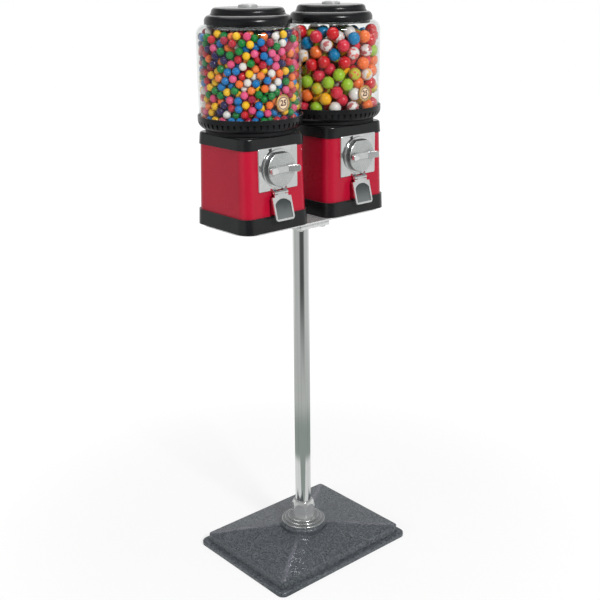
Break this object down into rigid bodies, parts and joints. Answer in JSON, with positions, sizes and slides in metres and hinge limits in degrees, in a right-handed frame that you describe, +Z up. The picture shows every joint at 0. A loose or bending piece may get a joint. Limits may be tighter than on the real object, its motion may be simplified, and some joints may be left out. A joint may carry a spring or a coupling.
{
  "type": "gumball machine",
  "caption": "Twin-head coin-operated gumball machine on a chrome pole and cast base, with turning handles, geared dispensing wheels and hinged chute doors.",
  "frame": {"origin": "on the floor under the pole's axis, at the middle of the base", "axes": "+Z up along the pole, +X towards the right-hand head seen from the front, front of the machine towards -Y"},
  "size_m": [0.3856, 0.268, 1.091],
  "materials": {
    "hammer_paint": "dark grey hammer paint over cast iron",
    "chrome": "bright chrome plate",
    "zinc": "zinc-plated steel",
    "black_gloss": "black moulded plastic, half gloss",
    "black_matte": "black moulded plastic",
    "red_paint": "gloss red powder coat on sheet steel",
    "clear_plastic": "clear polycarbonate",
    "candy": "glossy sugar shell, mixed colours",
    "white_plastic": "white moulded plastic",
    "brass": "cast brass"
  },
  "bodies": {
    "stand": {"base_casting": "hammer_paint", "base_flange": "chrome", "pole_lock_nut": "chrome", "pole": "chrome", "pole_head": "zinc", "twin_mount_plate": "zinc", "head_screws": "zinc", "left_base_tray": "black_gloss", "left_body_shell": "red_paint", "left_top_collar": "black_gloss", "left_hopper": "black_gloss", "left_wheel_cup": "black_matte", "left_globe_ring": "black_gloss", "left_globe": "clear_plastic", "left_gumballs": "candy", "left_center_rod": "zinc", "left_cutoff_cover": "white_plastic", "left_chute": "black_matte", "left_chute_door_pin": "zinc", "left_mech_face_plate": "chrome", "left_mech_back_plate": "zinc", "left_mech_screws": "zinc", "left_pawl_spring": "zinc", "right_base_tray": "black_gloss", "right_body_shell": "red_paint", "right_top_collar": "black_gloss", "right_hopper": "black_gloss", "right_wheel_cup": "black_matte", "right_globe_ring": "black_gloss", "right_globe": "clear_plastic", "right_gumballs": "candy", "right_center_rod": "zinc", "right_cutoff_cover": "white_plastic", "right_chute": "black_matte", "right_chute_door_pin": "zinc", "right_mech_face_plate": "chrome", "right_mech_back_plate": "zinc", "right_mech_screws": "zinc", "right_pawl_spring": "zinc"},
    "left_lid_body": {"left_lid": "black_gloss", "left_lid_lock_barrel": "chrome"},
    "left_lock_body": {"left_lid_lock_plug": "chrome"},
    "left_handle_body": {"left_handle": "chrome", "left_spindle": "zinc", "left_coin_carrier": "brass", "left_drive_pinion": "brass"},
    "left_wheel_body": {"left_dispensing_wheel": "white_plastic"},
    "left_chute_door_body": {"left_chute_door": "chrome"},
    "left_pawl_body": {"left_pawl": "zinc"},
    "right_lid_body": {"right_lid": "black_gloss", "right_lid_lock_barrel": "chrome"},
    "right_lock_body": {"right_lid_lock_plug": "chrome"},
    "right_handle_body": {"right_handle": "chrome", "right_spindle": "zinc", "right_coin_carrier": "brass", "right_drive_pinion": "brass"},
    "right_wheel_body": {"right_dispensing_wheel": "white_plastic"},
    "right_chute_door_body": {"right_chute_door": "chrome"},
    "right_pawl_body": {"right_pawl": "zinc"}
  },
  "joints": [
    {"name": "left_lid_lift", "type": "slide", "parent": "stand", "child": "left_lid_body", "axis": [0, 0, 1], "range_m": [0, 0.06]},
    {"name": "left_lock_turn", "type": "hinge", "parent": "left_lid_body", "child": "left_lock_body", "pos_m": [-0.0983, 0.0209, 1.089], "axis": [0, 0, 1], "range_deg": [0, 90]},
    {"name": "left_handle_turn", "type": "hinge", "parent": "stand", "child": "left_handle_body", "pos_m": [-0.0983, -0.05461, 0.814], "axis": [0, 1, 0], "continuous": true},
    {"name": "left_wheel_spin", "type": "hinge", "parent": "stand", "child": "left_wheel_body", "pos_m": [-0.0983, 0.0209, 0.8244], "axis": [0, 0, 1], "continuous": true},
    {"name": "left_chute_door_swing", "type": "hinge", "parent": "stand", "child": "left_chute_door_body", "pos_m": [-0.0983, -0.05961, 0.772], "axis": [-1, 0, 0], "range_deg": [0, 75]},
    {"name": "left_pawl_lift", "type": "hinge", "parent": "stand", "child": "left_pawl_body", "pos_m": [-0.0648, -0.04661, 0.819], "axis": [0, 1, 0], "range_deg": [0, 10], "stiffness_Nm_per_rad": 0.02, "springref_deg": -17.19, "deforming": ["left_pawl_spring"]},
    {"name": "right_lid_lift", "type": "slide", "parent": "stand", "child": "right_lid_body", "axis": [0, 0, 1], "range_m": [0, 0.06]},
    {"name": "right_lock_turn", "type": "hinge", "parent": "right_lid_body", "child": "right_lock_body", "pos_m": [0.0983, 0.0209, 1.089], "axis": [0, 0, 1], "range_deg": [0, 90]},
    {"name": "right_handle_turn", "type": "hinge", "parent": "stand", "child": "right_handle_body", "pos_m": [0.0983, -0.05461, 0.814], "axis": [0, 1, 0], "continuous": true},
    {"name": "right_wheel_spin", "type": "hinge", "parent": "stand", "child": "right_wheel_body", "pos_m": [0.0983, 0.0209, 0.8244], "axis": [0, 0, 1], "continuous": true},
    {"name": "right_chute_door_swing", "type": "hinge", "parent": "stand", "child": "right_chute_door_body", "pos_m": [0.0983, -0.05961, 0.772], "axis": [-1, 0, 0], "range_deg": [0, 75]},
    {"name": "right_pawl_lift", "type": "hinge", "parent": "stand", "child": "right_pawl_body", "pos_m": [0.1318, -0.04661, 0.819], "axis": [0, 1, 0], "range_deg": [0, 10], "stiffness_Nm_per_rad": 0.02, "springref_deg": -17.19, "deforming": ["right_pawl_spring"]}
  ],
  "couplings": [
    {"joint": "left_wheel_spin", "follows": "left_handle_turn", "ratio": 0.16667},
    {"joint": "right_wheel_spin", "follows": "right_handle_turn", "ratio": 0.16667}
  ]
}
